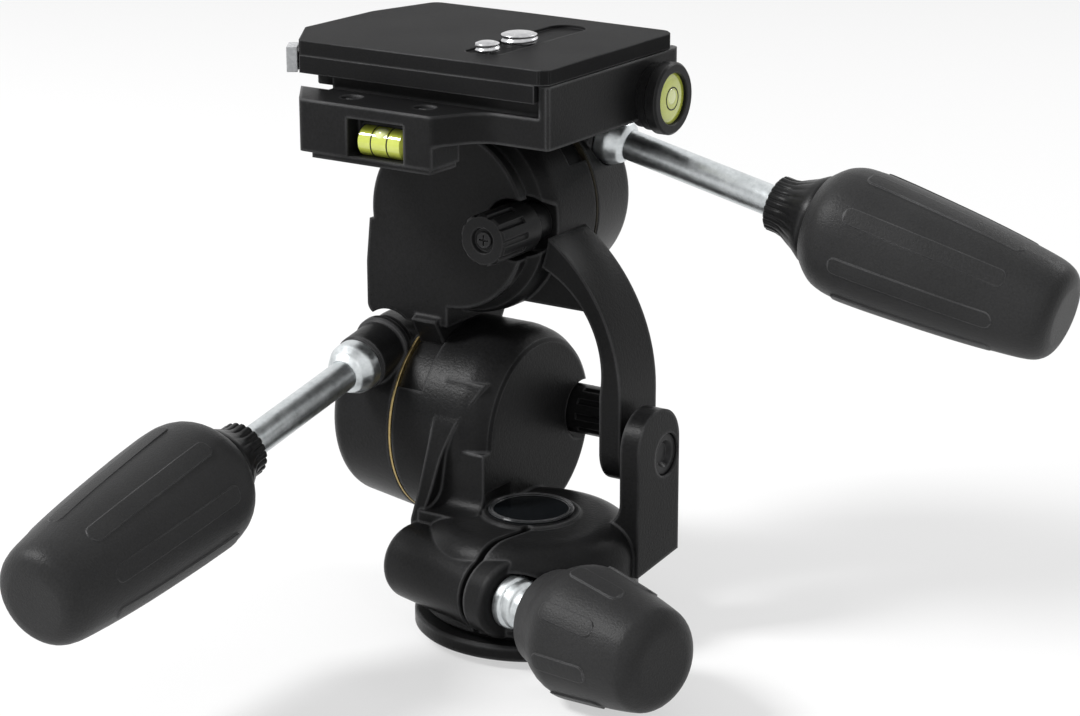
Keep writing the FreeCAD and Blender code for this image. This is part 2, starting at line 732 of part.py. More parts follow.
# ================================================================ tilt bracket
def support_arm():
    """Curved arm that carries the upper housing's right side down to the pivot pin."""
    outer_top = V(arm_root, 0, lateral_level - 1.6)
    outer = [outer_top, V(24.4, 0, 95.0), V(arm_outer, 0, tilt_level + 15.0)]
    inner = [V(arm_inner, 0, tilt_level + 15.3), V(20.9, 0, 91.5), V(arm_root - 6, 0, 101.5)]
    base = tilt_level - arm_half_width - 2
    start = V(0, -arm_half_width, 0)
    edges = [Part.Arc(outer[0] + start, outer[1] + start, outer[2] + start).toShape(),
             Part.LineSegment(outer[2] + start, V(arm_outer, -arm_half_width, base)).toShape(),
             Part.LineSegment(V(arm_outer, -arm_half_width, base), V(arm_inner, -arm_half_width, base)).toShape(),
             Part.LineSegment(V(arm_inner, -arm_half_width, base), inner[0] + start).toShape(),
             Part.Arc(inner[0] + start, inner[1] + start, inner[2] + start).toShape(),
             Part.LineSegment(inner[2] + start, outer[0] + start).toShape()]
    arm = Part.Face(Part.Wire(edges)).extrude(Y * (2 * arm_half_width))
    above = box(-5, 60, -arm_half_width, arm_half_width, tilt_level, lateral_level + 20)
    round_end = cylinder(arm_half_width, V(-5, 0, tilt_level), X, 65)
    arm = arm.common(above.fuse(round_end))
    boss = cylinder(arm_boss_radius, V(arm_inner, 0, tilt_level), X, upright_inner - free_gap - arm_inner)
    pin = cylinder(pin_radius + running, V(arm_inner - 1, 0, tilt_level), X, 20)
    housing = cylinder(drum_radius, V(lateral_x, lateral_face - 1, lateral_level), Y, shell_length + ring_length + 1)
    return placed(less(arm.fuse(boss), pin, housing))


def bracket_neck():
    upper = prism_xz([(neck_left, neck_bottom, 3.0), (neck_right, neck_bottom), (neck_right, lateral_level),
                      (neck_left + 1.2, lateral_level - 3.0), (neck_left, 96.0, 20.0)], lateral_face, neck_rear)
    lower = box(neck_left + 2, neck_right, lateral_face, 12.0, neck_bottom, neck_bottom + neck_step)
    return placed(upper.fuse(lower))


def bracket_web():
    return placed(prism_xz([(-14.0, web_bottom), (24.0, web_bottom), (20.0, 97.0), (4.0, 106.0), (-6.0, 104.0)],
                           -web_half_width, web_half_width))


def tilt_bracket():
    """Upper drum's fixed shell, with the neck and foot that stand on the lower drum's turning ring."""
    shell = turned([(0, 0), (drum_radius - front_step, 0, 0.6), (drum_radius - front_step, 3.4, 0.3),
                    (drum_radius - front_step - 1.0, 4.2), (drum_radius - front_step - 1.0, 5.0),
                    (drum_radius - 1.4, 6.8), (drum_radius, 10.0, 10.0), (drum_radius, shell_length),
                    (0, shell_length)])
    body = joined(lateral_drum(shell), lateral_drum(drum_tab(True)), bracket_neck(), bracket_web())
    room = [lateral_drum(cutter) for cutter in drum_hollows()]
    boss_room = cylinder(boss_radius + 1.4, tilt_handle_start, tilt_handle_way * -1, 50)
    lower_drum = cylinder(end_cap_radius + neck_gap, tilt_origin + X * 20, X * -1, 80)
    body = less(body, lateral_drum(drum_foot_space()), boss_room, lower_drum, *room)
    upper_drum = lateral_drum(cylinder(end_cap_radius + neck_gap, V(0, 0, shell_length), Z, drum_length))
    foot = less(tilt_drum(drum_foot()), upper_drum)
    return less(joined(body, foot), support_arm())


# ================================================================ platform
def platform_outline():
    return [(wing_left, wing_front, 2.0), (wing_right, wing_front, 1.5), (7.0, platform_front - 3.0, 5.0),
            (11.0, platform_front, 6.0), (platform_right, platform_front, 1.0), (platform_right, platform_rear, 3.0),
            (platform_left + 4, platform_rear, 3.0), (platform_left, 6.0, 8.0),
            (platform_left - wing_spread, platform_front + 2.0, 3.0)]


def platform_foot():
    """Post from the upper drum's turning ring up to the platform."""
    rise = platform_bottom + 1 - lateral_level
    reach = rise / math.cos(math.radians(foot_angle))
    foot = sector(ring_radius, reach, ring_start, ring_end, 90 - foot_angle, 2 * foot_angle)
    return lateral_drum(foot.common(box(-reach, reach, 0, rise, 0, drum_length)))


def platform_body():
    """Deck, the wing with its ledge in front, the raised seat of the plate and the right wall."""
    deck = prism_xy(platform_outline(), platform_bottom, platform_top)
    below = prism_xy(platform_outline(), platform_bottom - ledge_drop, platform_top)
    wing = box(platform_left - wing_spread, wing_right, wing_front, platform_front,
               platform_bottom - wing_drop, platform_top).common(below)
    ledge = box(wing_left + 3.0, wing_right - 1.0, wing_front + 1.0, platform_front,
                platform_bottom - ledge_drop, platform_bottom)
    raised = prism_xy([(platform_left + 5, platform_front + 2.4), (platform_right, platform_front + 2.4),
                       (platform_right, platform_rear, 3.0), (platform_left + 7.5, platform_rear, 3.0)],
                      platform_top - 1, deck_top)
    wall = prism_xy([(platform_right - right_wall, platform_front, 0.5), (platform_right, platform_front, 1.0),
                     (platform_right, platform_rear, 3.0), (platform_right - right_wall, platform_rear)],
                    platform_top - 1, right_wall_top)
    return joined(deck, wing, ledge, raised, wall)


def platform_cuts():
    """Vial window and seat, lever room, pin hole, level socket and the wing screws' counterbores."""
    window = box(vial_x - window_length / 2, vial_x + window_length / 2, wing_front - 1, wing_front + 5.0,
                 platform_bottom - window_drop - window_height / 2, platform_bottom - window_drop + window_height / 2)
    seat = cylinder(vial_radius + running, V(vial_x - vial_length / 2, wing_front + 5.2, vial_z), X, vial_length)
    lever_room = box(platform_left - 5, lever_x + lever_radius + 0.7, platform_front - 14, platform_rear + 1,
                     lever_bottom - free_gap, platform_top + 6)
    lever_room = lever_room.cut(box(platform_left - 5, 10, -60, platform_front + 0.6, lever_bottom - 1,
                                    platform_top + 6))
    pin = cylinder(lever_pin_radius, V(lever_x, lever_y, platform_bottom + 1), Z, 10)
    level = cylinder(level_radius - 1.2, V(platform_right - 2.5, level_y, level_z), X, 10)
    screws = [cylinder(wing_screw_radius + 0.2, V(place, wing_screw_y, platform_top - wing_screw_sink), Z, 5)
              for place in wing_screw_x]
    return [window, seat, lever_room, pin, level] + screws


def platform():
    """Platform with the post that stands on the turning ring, hollowed for the drum under it."""
    drum_room = lateral_drum(cylinder(end_cap_radius + free_gap, V(0, 0, -1), Z, 2 * drum_length))
    boss_room = cylinder(boss_radius + 1.3, lateral_handle_start, lateral_handle_way * -1, 50)
    body = less(placed(less(platform_body(), *platform_cuts())), drum_room, boss_room)
    return joined(body, platform_foot())


def wing_screws():
    """Two countersunk screws in the wing's top."""
    heads = []
    for place in wing_screw_x:
        low = platform_top - wing_screw_sink
        head = cylinder(wing_screw_radius, V(place, wing_screw_y, low), Z, 1.0)
        heads.append(less(head, box(place - 2, place + 2, wing_screw_y - 0.4, wing_screw_y + 0.4, low + 0.6, low + 2)))
    return placed(Part.makeCompound(heads))


def tube_vial():
    vial = turned([(0, 0), (vial_radius, 0, 1.1), (vial_radius, vial_length, 1.1), (0, vial_length)])
    return placed(along(vial, V(vial_x - vial_length / 2, wing_front + 5.2, vial_z), X))


def round_level_body():
    shape = turned([(0, -2.5), (level_radius - 1.2, -2.5), (level_radius - 1.2, 0), (level_radius - 0.7, 0),
                    (level_radius - 0.7, 2.2), (level_radius, 2.9), (level_radius, level_length, 0.8),
                    (glass_radius, level_length, 0.3), (glass_radius, 1.5), (0, 1.5)])
    return placed(along(shape, V(platform_right, level_y, level_z), X))


def round_level_glass():
    shape = turned([(0, 1.5), (glass_radius, 1.5), (glass_radius, level_length - 0.9),
                    (glass_radius - 1.5, level_length - 0.5), (0, level_length - 0.5)])
    return placed(along(shape, V(platform_right, level_y, level_z), X))


def standing(points, place):
    """Solid of revolution about the upright line through a place in the tilting group."""
    return placed(along(turned(points), place, Z))


def lever_pin():
    low = platform_bottom + 1
    return standing([(0, 0), (lever_pin_radius, 0), (lever_pin_radius, lever_top - low, 0.3), (0, lever_top - low)],
                    V(lever_x, lever_y, low))


def plate_edge(along_edge, outward):
    """Point beside the plate's slanted front left edge."""
    run = V(plate_left - plate_corner, plate_bend - plate_front, 0).normalize()
    spot = V(plate_corner, plate_front, 0) + run * along_edge + V(-run.y, run.x, 0) * outward
    return (spot.x, spot.y)


def lever_tip():
    """Outline of the lever's tip beside the slanted edge."""
    return [plate_edge(0.5, 0.5), plate_edge(0.5, lever_tip_width), plate_edge(7.5, lever_tip_width),
            plate_edge(7.5, 0.5)]


def lock_lever():
    """Clamping lever under the plate's left overhang."""
    tip = lever_tip()[3]
    wall_back = plate_front + plate_wall + free_gap + 0.1
    bar = prism_xy([(lever_x - 2.5, lever_y), (lever_x + 2.5, lever_y), (lever_x + 1.4, lever_y - 38, 10.0),
                    (plate_corner + 0.5, wall_back), plate_edge(4.6, 0.5), tip, (lever_x - 5.0, lever_y - 40, 8.0)],
                   plate_bottom, lever_top)
    hub = cylinder(lever_radius, V(lever_x, lever_y, lever_bottom), Z, lever_top - lever_bottom)
    hole = cylinder(lever_pin_radius + running, V(lever_x, lever_y, lever_bottom - 1), Z, 20)
    return placed(less(joined(bar, hub), hole))


def lever_tab():
    """Pale finger tab on the lever's tip, in front of the plate's left corner."""
    return placed(prism_xy(lever_tip(), plate_bottom, plate_top - lever_tip_drop))


def plate_outline():
    """Plate outline with a slanted front left edge and a cut rear left corner."""
    right = platform_right
    return [(plate_corner, plate_front, 0.6), (right - 2.0, plate_front, 0.5), (right, plate_front + 2.0, 0.5),
            (right, plate_rear - 3.0, 1.0), (right - 3.0, plate_rear, 1.0), (-20.0, plate_rear + 1.9),
            (-49.0, plate_rear + 2.2, 3.0), (plate_left + 0.7, 8.0, 10.0), (plate_left, plate_bend, 2.0)]


def plate_holes():
    """Slot, screw holes and the recesses for the screws' heads."""
    half = large_screw_radius + 0.5
    slot = prism_xy([(camera_screw_x - half, small_screw_y - 4.0, 3.0), (camera_screw_x + half, small_screw_y - 4.0, 3.0),
                     (camera_screw_x + half, plate_rear - 7, 5.0), (camera_screw_x - half, plate_rear - 7, 5.0)],
                    plate_top - 0.8, plate_top + 1)
    screws = ((large_screw_radius, large_screw_y), (small_screw_radius, small_screw_y))
    holes = [cylinder(radius - screw_neck + running, V(camera_screw_x, place, plate_bottom - 1), Z,
                      plate_top - plate_bottom + 2) for radius, place in screws]
    heads = [cylinder(camera_head_radius + 0.6, V(camera_screw_x, place, plate_bottom - 1), Z, camera_head_height + 1.6)
             for radius, place in screws]
    return [slot] + holes + heads


def quick_release_plate():
    """Flat top of the plate, which overhangs the platform on the left."""
    return placed(less(prism_xy(plate_outline(), plate_ledge, plate_top), *plate_holes()))


def plate_block():
    """Block under the plate with the wall along its front."""
    inner_right = platform_right - right_wall - free_gap
    wall = box(plate_corner, inner_right, plate_front, plate_front + plate_wall, plate_bottom, plate_ledge)
    block = box(platform_left + 8.0, inner_right, plate_front + 1, plate_rear - 4, plate_bottom, plate_ledge)
    return placed(less(joined(wall, block), *plate_holes()))


def camera_screw(radius, place):
    """Camera screw held in the plate by its neck, with a slotted head underneath."""
    low = plate_bottom + free_gap
    neck_top = plate_top + 0.1 - low
    height = plate_top + screw_proud - low
    screw = standing([(0, 0), (camera_head_radius, 0, 0.4), (camera_head_radius, camera_head_height, 0.4),
                      (radius - screw_neck, camera_head_height), (radius - screw_neck, neck_top), (radius, neck_top),
                      (radius, height - screw_chamfer), (radius - screw_chamfer, height), (0, height)], V(camera_screw_x, place, low))
    slot = placed(box(camera_screw_x - 7, camera_screw_x + 7, place - 0.8, place + 0.8, low - 1, low + 1.2))
    return less(screw, slot)


# ================================================================ the nodes
nodes = {
    "base_flange": base_flange(),
    "thrust_washer": thrust_washer(),
    "retaining_washer": retaining_washer(),
    "retaining_nut": retaining_nut(),
    "pan_casting": pan_casting(),
    "pan_cap": pan_cap(),
    "pivot_pin": pivot_pin(),
    "clamp_nut": clamp_nut(),
    "tilt_spindle": tilt_drum(drum_spindle()),
    "tilt_disc_springs": tilt_drum(drum_springs()),
    "tilt_friction_knob": tilt_drum(friction_knob()),
    "tilt_friction_screw": tilt_drum(friction_screw()),
    "clamp_screw": clamp_screw(),
    "pan_knob": pan_knob(),
    "tilt_bracket": tilt_bracket(),
    "support_arm": support_arm(),
    "tilt_ring": tilt_drum(drum_ring()),
    "tilt_friction_washer": tilt_drum(friction_washer()),
    "tilt_end_cap": handled_cap(tilt_drum, tilt_handle_start, tilt_handle_way),
    "lateral_spindle": lateral_drum(drum_spindle()),
    "lateral_disc_springs": lateral_drum(drum_springs()),
    "lateral_friction_knob": lateral_drum(friction_knob()),
    "lateral_friction_screw": lateral_drum(friction_screw()),
    "platform": platform(),
    "lateral_ring": lateral_drum(drum_ring()),
    "wing_screws": wing_screws(),
    "tube_vial": tube_vial(),
    "round_level_body": round_level_body(),
    "round_level_glass": round_level_glass(),
    "lateral_friction_washer": lateral_drum(friction_washer()),
    "lateral_end_cap": handled_cap(lateral_drum, lateral_handle_start, lateral_handle_way),
    "lever_pin": lever_pin(),
    "lock_lever": lock_lever(),
    "lever_tab": lever_tab(),
    "quick_release_plate": quick_release_plate(),
    "plate_block": plate_block(),
    "camera_screw_large": camera_screw(large_screw_radius, large_screw_y),
    "camera_screw_small": camera_screw(small_screw_radius, small_screw_y),
}

for side, start, way in (("tilt", tilt_handle_start, tilt_handle_way),
                         ("lateral", lateral_handle_start, lateral_handle_way)):
    nodes[side + "_handle_rod"] = on_handle(handle_rod(), start, way)
    nodes[side + "_handle_collar"] = on_handle(handle_collar(), start, way)
    nodes[side + "_handle_neck"] = on_handle(handle_neck(), start, way)
    nodes[side + "_handle_grip"] = on_handle(handle_grip(), start, way)

os.makedirs("parts", exist_ok=True)
for name, shape in nodes.items():
    shape.exportStep("parts/" + name + ".step")
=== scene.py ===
import bpy
import bmesh
import json
import math
from mathutils import Matrix, Vector


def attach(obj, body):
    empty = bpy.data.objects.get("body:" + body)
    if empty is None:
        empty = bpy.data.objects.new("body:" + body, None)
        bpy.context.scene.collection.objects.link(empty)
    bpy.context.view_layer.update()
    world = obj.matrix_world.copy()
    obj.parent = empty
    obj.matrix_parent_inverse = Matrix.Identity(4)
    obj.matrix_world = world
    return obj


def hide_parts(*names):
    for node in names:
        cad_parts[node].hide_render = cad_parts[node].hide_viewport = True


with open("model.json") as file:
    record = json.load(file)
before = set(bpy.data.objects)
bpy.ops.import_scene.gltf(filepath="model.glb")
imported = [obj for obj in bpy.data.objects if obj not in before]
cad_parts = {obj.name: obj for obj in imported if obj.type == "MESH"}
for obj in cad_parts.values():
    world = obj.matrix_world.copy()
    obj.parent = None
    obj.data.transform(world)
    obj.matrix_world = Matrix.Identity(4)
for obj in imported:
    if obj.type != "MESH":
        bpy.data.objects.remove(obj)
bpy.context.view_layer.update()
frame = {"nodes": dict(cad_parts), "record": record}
nodes = frame["nodes"]
scene = bpy.context.scene
scene.view_settings.view_transform = "Standard"

# the tilting group's datum, as in the part's source, in metres
DATUM = Vector((-0.0134, 0.0201, -0.00995))
# just under the pan knob, which reaches below the flange
FLOOR = -0.0021
# the ribbed and fluted bodies are written in millimetres
MM_PER_M = 1000


# ---------------------------------------------------------------- camera
CAMERA_PLACE = (0.3753, -0.5650, 0.27925)
CAMERA_AZIMUTH = 33.399       # degrees, as are the next two
CAMERA_ELEVATION = 17.156
CAMERA_ROLL = -0.096
SENSOR_WIDTH = 36.0
FOCAL_LENGTH = 94.36


def add_camera():
    """Camera at the place and angle of the photograph."""
    azimuth = math.radians(CAMERA_AZIMUTH)
    elevation = math.radians(CAMERA_ELEVATION)
    roll = math.radians(CAMERA_ROLL)
    level = math.cos(elevation)
    back = Vector((math.sin(azimuth) * level, -math.cos(azimuth) * level, math.sin(elevation)))
    right = Vector((math.cos(azimuth), math.sin(azimuth), 0))
    up = back.cross(right)
    turned_right = right * math.cos(roll) + up * math.sin(roll)
    turned_up = up * math.cos(roll) - right * math.sin(roll)
    lens = bpy.data.cameras.new("camera")
    lens.sensor_width = SENSOR_WIDTH
    lens.lens = FOCAL_LENGTH
    lens.clip_start = 0.05
    lens.clip_end = 30.0
    camera = bpy.data.objects.new("camera", lens)
    rows = zip(turned_right, turned_up, back, CAMERA_PLACE)
    camera.matrix_world = Matrix((*rows, (0, 0, 0, 1)))
    scene.collection.objects.link(camera)
    scene.camera = camera


# ---------------------------------------------------------------- materials
FINE_DETAIL = 4.0
FINE_ROUGHNESS = 0.6
WIDE_DETAIL = 6.0
WIDE_ROUGHNESS = 0.5
WIDE_SHARE = 0.45             # of the broad noise in the blend that tints the surface
DARK_UP_TO = 0.3              # blend values between which the tint goes from dark to light
LIGHT_FROM = 0.72
ROUGH_SPAN = (0.3, 0.7)       # blend values between which the roughness changes
EDGE_TURN = (0.985, 0.90)     # cosine of the bevel's turn where the lighter edge tint, part wear and part painted highlight, starts and where it is full
PATCH_SPAN = (0.35, 0.65)     # broad noise values between which the lighter edge tint (wear and painted highlight) grows
PATCH_LEAST = 0.25
EDGE_BLUE = 1.02              # the lighter edges, part wear and part painted highlight, are a little cooler than grey
RELIEF_DEPTH = 0.0004
COAT_ROUGHNESS = 0.08
BEVEL_SAMPLES = 4


def node_of(tree, kind, **values):
    """New shader node with its settings."""
    made = tree.nodes.new(kind)
    for key, value in values.items():
        setattr(made, key, value)
    return made


def ramp(tree, source, low, high, out_low, out_high):
    """Map Range node from a value, clamped."""
    made = node_of(tree, "ShaderNodeMapRange")
    made.inputs["From Min"].default_value = low
    made.inputs["From Max"].default_value = high
    made.inputs["To Min"].default_value = out_low
    made.inputs["To Max"].default_value = out_high
    tree.links.new(source, made.inputs["Value"])
    return made.outputs["Result"]


def noise(tree, place, scale, detail, roughness):
    """Noise texture in the object's own coordinates."""
    made = node_of(tree, "ShaderNodeTexNoise")
    made.inputs["Scale"].default_value = scale
    made.inputs["Detail"].default_value = detail
    made.inputs["Roughness"].default_value = roughness
    tree.links.new(place, made.inputs["Vector"])
    return made.outputs["Fac"]


def worn_and_highlit_edges(tree, tint, rounded, wide, edge):
    """The tint with the grey level edge laid over it in patches where the surface bends, as edge wear and as
    painted highlight along edges.
    """
    geometry = node_of(tree, "ShaderNodeNewGeometry")
    turn = node_of(tree, "ShaderNodeVectorMath", operation="DOT_PRODUCT")
    tree.links.new(rounded, turn.inputs[0])
    tree.links.new(geometry.outputs["True Normal"], turn.inputs[1])
    # mask of the bent edges, where the lighter tint paints highlights as well as wear
    wear_and_highlight_mask = ramp(tree, turn.outputs["Value"], *EDGE_TURN, 0.0, 1.0)
    patchy = ramp(tree, wide, *PATCH_SPAN, PATCH_LEAST, 1.0)
    faded = node_of(tree, "ShaderNodeMath", operation="MULTIPLY")
    tree.links.new(wear_and_highlight_mask, faded.inputs[0])
    tree.links.new(patchy, faded.inputs[1])
    wear_and_highlight = node_of(tree, "ShaderNodeMix", data_type="RGBA")
    wear_and_highlight.inputs["B"].default_value = (edge, edge, edge * EDGE_BLUE, 1)
    tree.links.new(faded.outputs["Value"], wear_and_highlight.inputs["Factor"])
    tree.links.new(tint, wear_and_highlight.inputs["A"])
    return wear_and_highlight.outputs["Result"]


def surface(name, dark, light, rough, bump, grain, metal=0.0, coat=0.0, broad=40.0, specular=0.5, edge=0.0,
            round_edge=0.0004):
    """Principled material with fine grain, broad colour variation, softened edges and, along them, a lighter
    tint that is part wear and part painted highlight.
    """
    material = bpy.data.materials.new(name)
    material.use_nodes = True
    tree = material.node_tree
    shader = tree.nodes["Principled BSDF"]
    shader.inputs["Metallic"].default_value = metal
    shader.inputs["Coat Weight"].default_value = coat
    shader.inputs["Coat Roughness"].default_value = COAT_ROUGHNESS
    shader.inputs["Specular IOR Level"].default_value = specular
    place = node_of(tree, "ShaderNodeTexCoord").outputs["Object"]
    fine = noise(tree, place, grain, FINE_DETAIL, FINE_ROUGHNESS)
    wide = noise(tree, place, broad, WIDE_DETAIL, WIDE_ROUGHNESS)
    blend = node_of(tree, "ShaderNodeMix", data_type="FLOAT")
    blend.inputs["Factor"].default_value = WIDE_SHARE
    tree.links.new(fine, blend.inputs["A"])
    tree.links.new(wide, blend.inputs["B"])
    colour = node_of(tree, "ShaderNodeValToRGB")
    ends = colour.color_ramp.elements
    ends[0].position = DARK_UP_TO
    ends[1].position = LIGHT_FROM
    ends[0].color = (*dark, 1)
    ends[1].color = (*light, 1)
    tree.links.new(blend.outputs["Result"], colour.inputs["Fac"])
    tint = colour.outputs["Color"]
    bevel = node_of(tree, "ShaderNodeBevel", samples=BEVEL_SAMPLES)
    bevel.inputs["Radius"].default_value = round_edge
    rounded = bevel.outputs["Normal"]
    if edge:
        # the edge tint paints highlights along the edges as well as wear
        tint = worn_and_highlit_edges(tree, tint, rounded, wide, edge)
    tree.links.new(tint, shader.inputs["Base Color"])
    roughness = ramp(tree, blend.outputs["Result"], *ROUGH_SPAN, *rough)
    tree.links.new(roughness, shader.inputs["Roughness"])
    relief = node_of(tree, "ShaderNodeBump")
    relief.inputs["Strength"].default_value = bump
    relief.inputs["Distance"].default_value = RELIEF_DEPTH
    tree.links.new(fine, relief.inputs["Height"])
    tree.links.new(rounded, relief.inputs["Normal"])
    tree.links.new(relief.outputs["Normal"], shader.inputs["Normal"])
    return material


def make_materials():
    """Every finish by its slot's name, and three that no slot names: brass darkened as painted shade, marks
    and bubbles.
    """
    # each edge value is a lighter tint along the edges, part wear and part painted highlight
    return {
        "cast_black": surface("coat_black", (0.007, 0.007, 0.0072), (0.015, 0.015, 0.0154), (0.26, 0.38),
                              0.22, 1500, specular=0.08, edge=0.12, round_edge=0.0013),
        "plate_black": surface("plate_black", (0.010, 0.010, 0.0103), (0.018, 0.018, 0.0184), (0.36, 0.48),
                               0.25, 2200, specular=0.012, edge=0.13, round_edge=0.0006),
        # on the cap the edge tint is a painted highlight on its ring steps
        "cap_gloss": surface("cap_black", (0.004, 0.005, 0.006), (0.009, 0.010, 0.011), (0.10, 0.20),
                             0.03, 900, specular=0.10, edge=0.30, round_edge=0.0003),
        "screw_black": surface("screw_black", (0.014, 0.014, 0.0145), (0.028, 0.028, 0.029), (0.26, 0.40),
                               0.05, 900, specular=0.14, edge=0.09, round_edge=0.0003),
        "zinc": surface("zinc_plate", (0.48, 0.51, 0.52), (0.76, 0.79, 0.80), (0.28, 0.44),
                        0.12, 700, metal=1.0, broad=220.0),
        "steel": surface("bright_steel", (0.42, 0.42, 0.43), (0.66, 0.66, 0.67), (0.18, 0.32),
                         0.06, 700, metal=1.0),
        "brass": surface("brass_disc", (0.30, 0.22, 0.09), (0.62, 0.48, 0.22), (0.30, 0.45),
                         0.05, 700, metal=1.0),
        # brass darkened to paint the shade in which the upper drum's washer lies
        "brass_painted_shade": surface("brass_painted_shade", (0.015, 0.013, 0.010), (0.05, 0.042, 0.026), (0.30, 0.45),
                               0.05, 700, specular=0.1),
        "plastic_black": surface("plastic_black", (0.009, 0.009, 0.0093), (0.017, 0.017, 0.0174),
                                 (0.26, 0.38), 0.12, 1500, specular=0.11, edge=0.08),
        "rubber_grip": surface("rubber_black", (0.020, 0.020, 0.0204), (0.036, 0.036, 0.0365), (0.34, 0.48),
                               0.30, 1900, specular=0.12, edge=0.14),
        "tab_pale": surface("tab_pale", (0.34, 0.35, 0.36), (0.52, 0.53, 0.54), (0.20, 0.34),
                            0.05, 900),
        "vial_yellow": surface("vial_yellow", (0.50, 0.56, 0.06), (0.62, 0.68, 0.12), (0.05, 0.10),
                               0.01, 300, coat=1.0, round_edge=0.0001),
        "mark_black": surface("mark_black", (0.01, 0.01, 0.01), (0.02, 0.02, 0.02), (0.3, 0.4),
                              0.02, 900, specular=0.1),
        "bubble": surface("bubble", (0.72, 0.78, 0.30), (0.82, 0.88, 0.45), (0.04, 0.08),
                          0.01, 300, coat=1.0, round_edge=0.0001),
    }


def dress_nodes(materials):
    """Each CAD node in its slot's finish. The upper drum's washer is brass darkened as painted shade, so it
    shows no bright line.
    """
    for part in frame["record"]["subparts"]:
        piece = nodes[part["node"]]
        piece.data.materials.clear()
        # the upper drum's washer takes the darkened brass, which is painted shade
        shown = "brass_painted_shade" if part["node"] == "lateral_friction_washer" else part["material_slot"]
        piece.data.materials.append(materials[shown])


# ---------------------------------------------------------------- making pieces
SHARP_EDGE = 38               # degrees from which an edge is shaded sharp


def finished(name, mesh, place, body, material, stands_for=()):
    """Links a mesh as a piece that rides a body, in its place in the row frame."""
    for face in mesh.polygons:
        face.use_smooth = True
    piece = bpy.data.objects.new(name, mesh)
    piece.matrix_world = place
    scene.collection.objects.link(piece)
    mesh.materials.append(material)
    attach(piece, body)
    if stands_for:
        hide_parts(*stands_for)
    split = piece.modifiers.new("edges", "EDGE_SPLIT")
    split.split_angle = math.radians(SHARP_EDGE)


def standing(x, y, z, direction=(0, 0, 1)):
    """Place of a turned body whose axis points along the direction."""
    turn = Vector(direction).to_track_quat("Z", "Y").to_matrix().to_4x4()
    return Matrix.Translation((x, y, z)) @ turn


def ring_of(work, radius, height, segments):
    """Vertices round Z at one height, or the one on the axis where the radius is 0."""
    if radius < 1e-7:
        return [work.verts.new((0, 0, height))]
    ring = []
    for k in range(segments):
        angle = 2 * math.pi * k / segments
        ring.append(work.verts.new((radius * math.cos(angle), radius * math.sin(angle), height)))
    return ring


def joined_rings(name, work, rings):
    """Mesh with faces between each ring and the next, where a ring of one vertex closes an end."""
    for low, high in zip(rings, rings[1:]):
        around = max(len(low), len(high))
        for k in range(around):
            after = (k + 1) % around
            corners = [low[k % len(low)], low[after % len(low)], high[after % len(high)], high[k % len(high)]]
            unique = list(dict.fromkeys(corners))
            if len(unique) > 2:
                work.faces.new(unique)
    bmesh.ops.recalc_face_normals(work, faces=work.faces)
    mesh = bpy.data.meshes.new(name)
    work.to_mesh(mesh)
    work.free()
    return mesh


def lathe(name, profile, segments=96):
    """Mesh of revolution about Z from (radius, height) in metres."""
    work = bmesh.new()
    return joined_rings(name, work, [ring_of(work, radius, height, segments) for radius, height in profile])


# ---------------------------------------------------------------- camera screws
PLATE_TOP = 0.14675
SCREW_FOOT = 0.13875          # underside of both heads
SCREW_X = -0.0119
STUD_HEIGHT = 0.0026          # over the plate
STUD_ROUND = 0.0006           # the thread ends this far below the stud's top
HEAD_RADIUS = 0.0066
HEAD_HEIGHT = 0.0026
HEAD_CHAMFER = 0.0004
NECK_STEP = 0.0007            # the neck is thinner than the thread by this
NECK_GAP = 0.0001             # the neck ends at the plate's top, and the thread starts this far above
GROOVE_SHARE = 0.42           # depth of the thread in its pitch
FADE_SHARE = 0.35             # of that depth that the thread loses where it runs out
FADE_IN = 0.25                # turns
FADE_OUT = 0.5
THREAD_SEGMENTS = 64
ROWS_PER_TURN = 14
TIP = ((0.0003, 0.0), (0.0007, 0.00022), (0.0013, 0.00042), (0.0020, 0.00052))   # inset, rise
TIP_RISE = 0.00055


def thread_rings(work, radius, pitch, low, high):
    """Rings of a helical thread that fades in and out."""
    depth = pitch * GROOVE_SHARE
    rows = int((high - low) / pitch * ROWS_PER_TURN)
    rings = []
    for i in range(rows + 1):
        height = low + (high - low) * i / rows
        fade = max(0.0, min(1.0, (high - height) / (FADE_OUT * pitch), (height - low) / (FADE_IN * pitch)))
        ring = []
        for k in range(THREAD_SEGMENTS):
            angle = 2 * math.pi * k / THREAD_SEGMENTS
            phase = ((height - low) / pitch - k / THREAD_SEGMENTS) % 1.0
            groove = 1 - abs(2 * phase - 1)
            reach = radius - depth * groove * fade - FADE_SHARE * depth * (1 - fade)
            ring.append(work.verts.new((reach * math.cos(angle), reach * math.sin(angle), height)))
        rings.append(ring)
    return rings


def threaded(name, radius, pitch, low, high):
    """Camera screw from its head up: head, neck, thread and rounded tip."""
    work = bmesh.new()
    neck = radius - NECK_STEP
    shaft = [(0, 0), (HEAD_RADIUS - HEAD_CHAMFER, 0), (HEAD_RADIUS, HEAD_CHAMFER), (HEAD_RADIUS, HEAD_HEIGHT),
             (neck, HEAD_HEIGHT), (neck, low - NECK_GAP)]
    end = [(radius - inset, high + rise) for inset, rise in TIP] + [(0, high + TIP_RISE)]
    rings = [ring_of(work, reach, height, THREAD_SEGMENTS) for reach, height in shaft]
    rings += thread_rings(work, radius, pitch, low, high)
    rings += [ring_of(work, reach, height, THREAD_SEGMENTS) for reach, height in end]
    return joined_rings(name, work, rings)


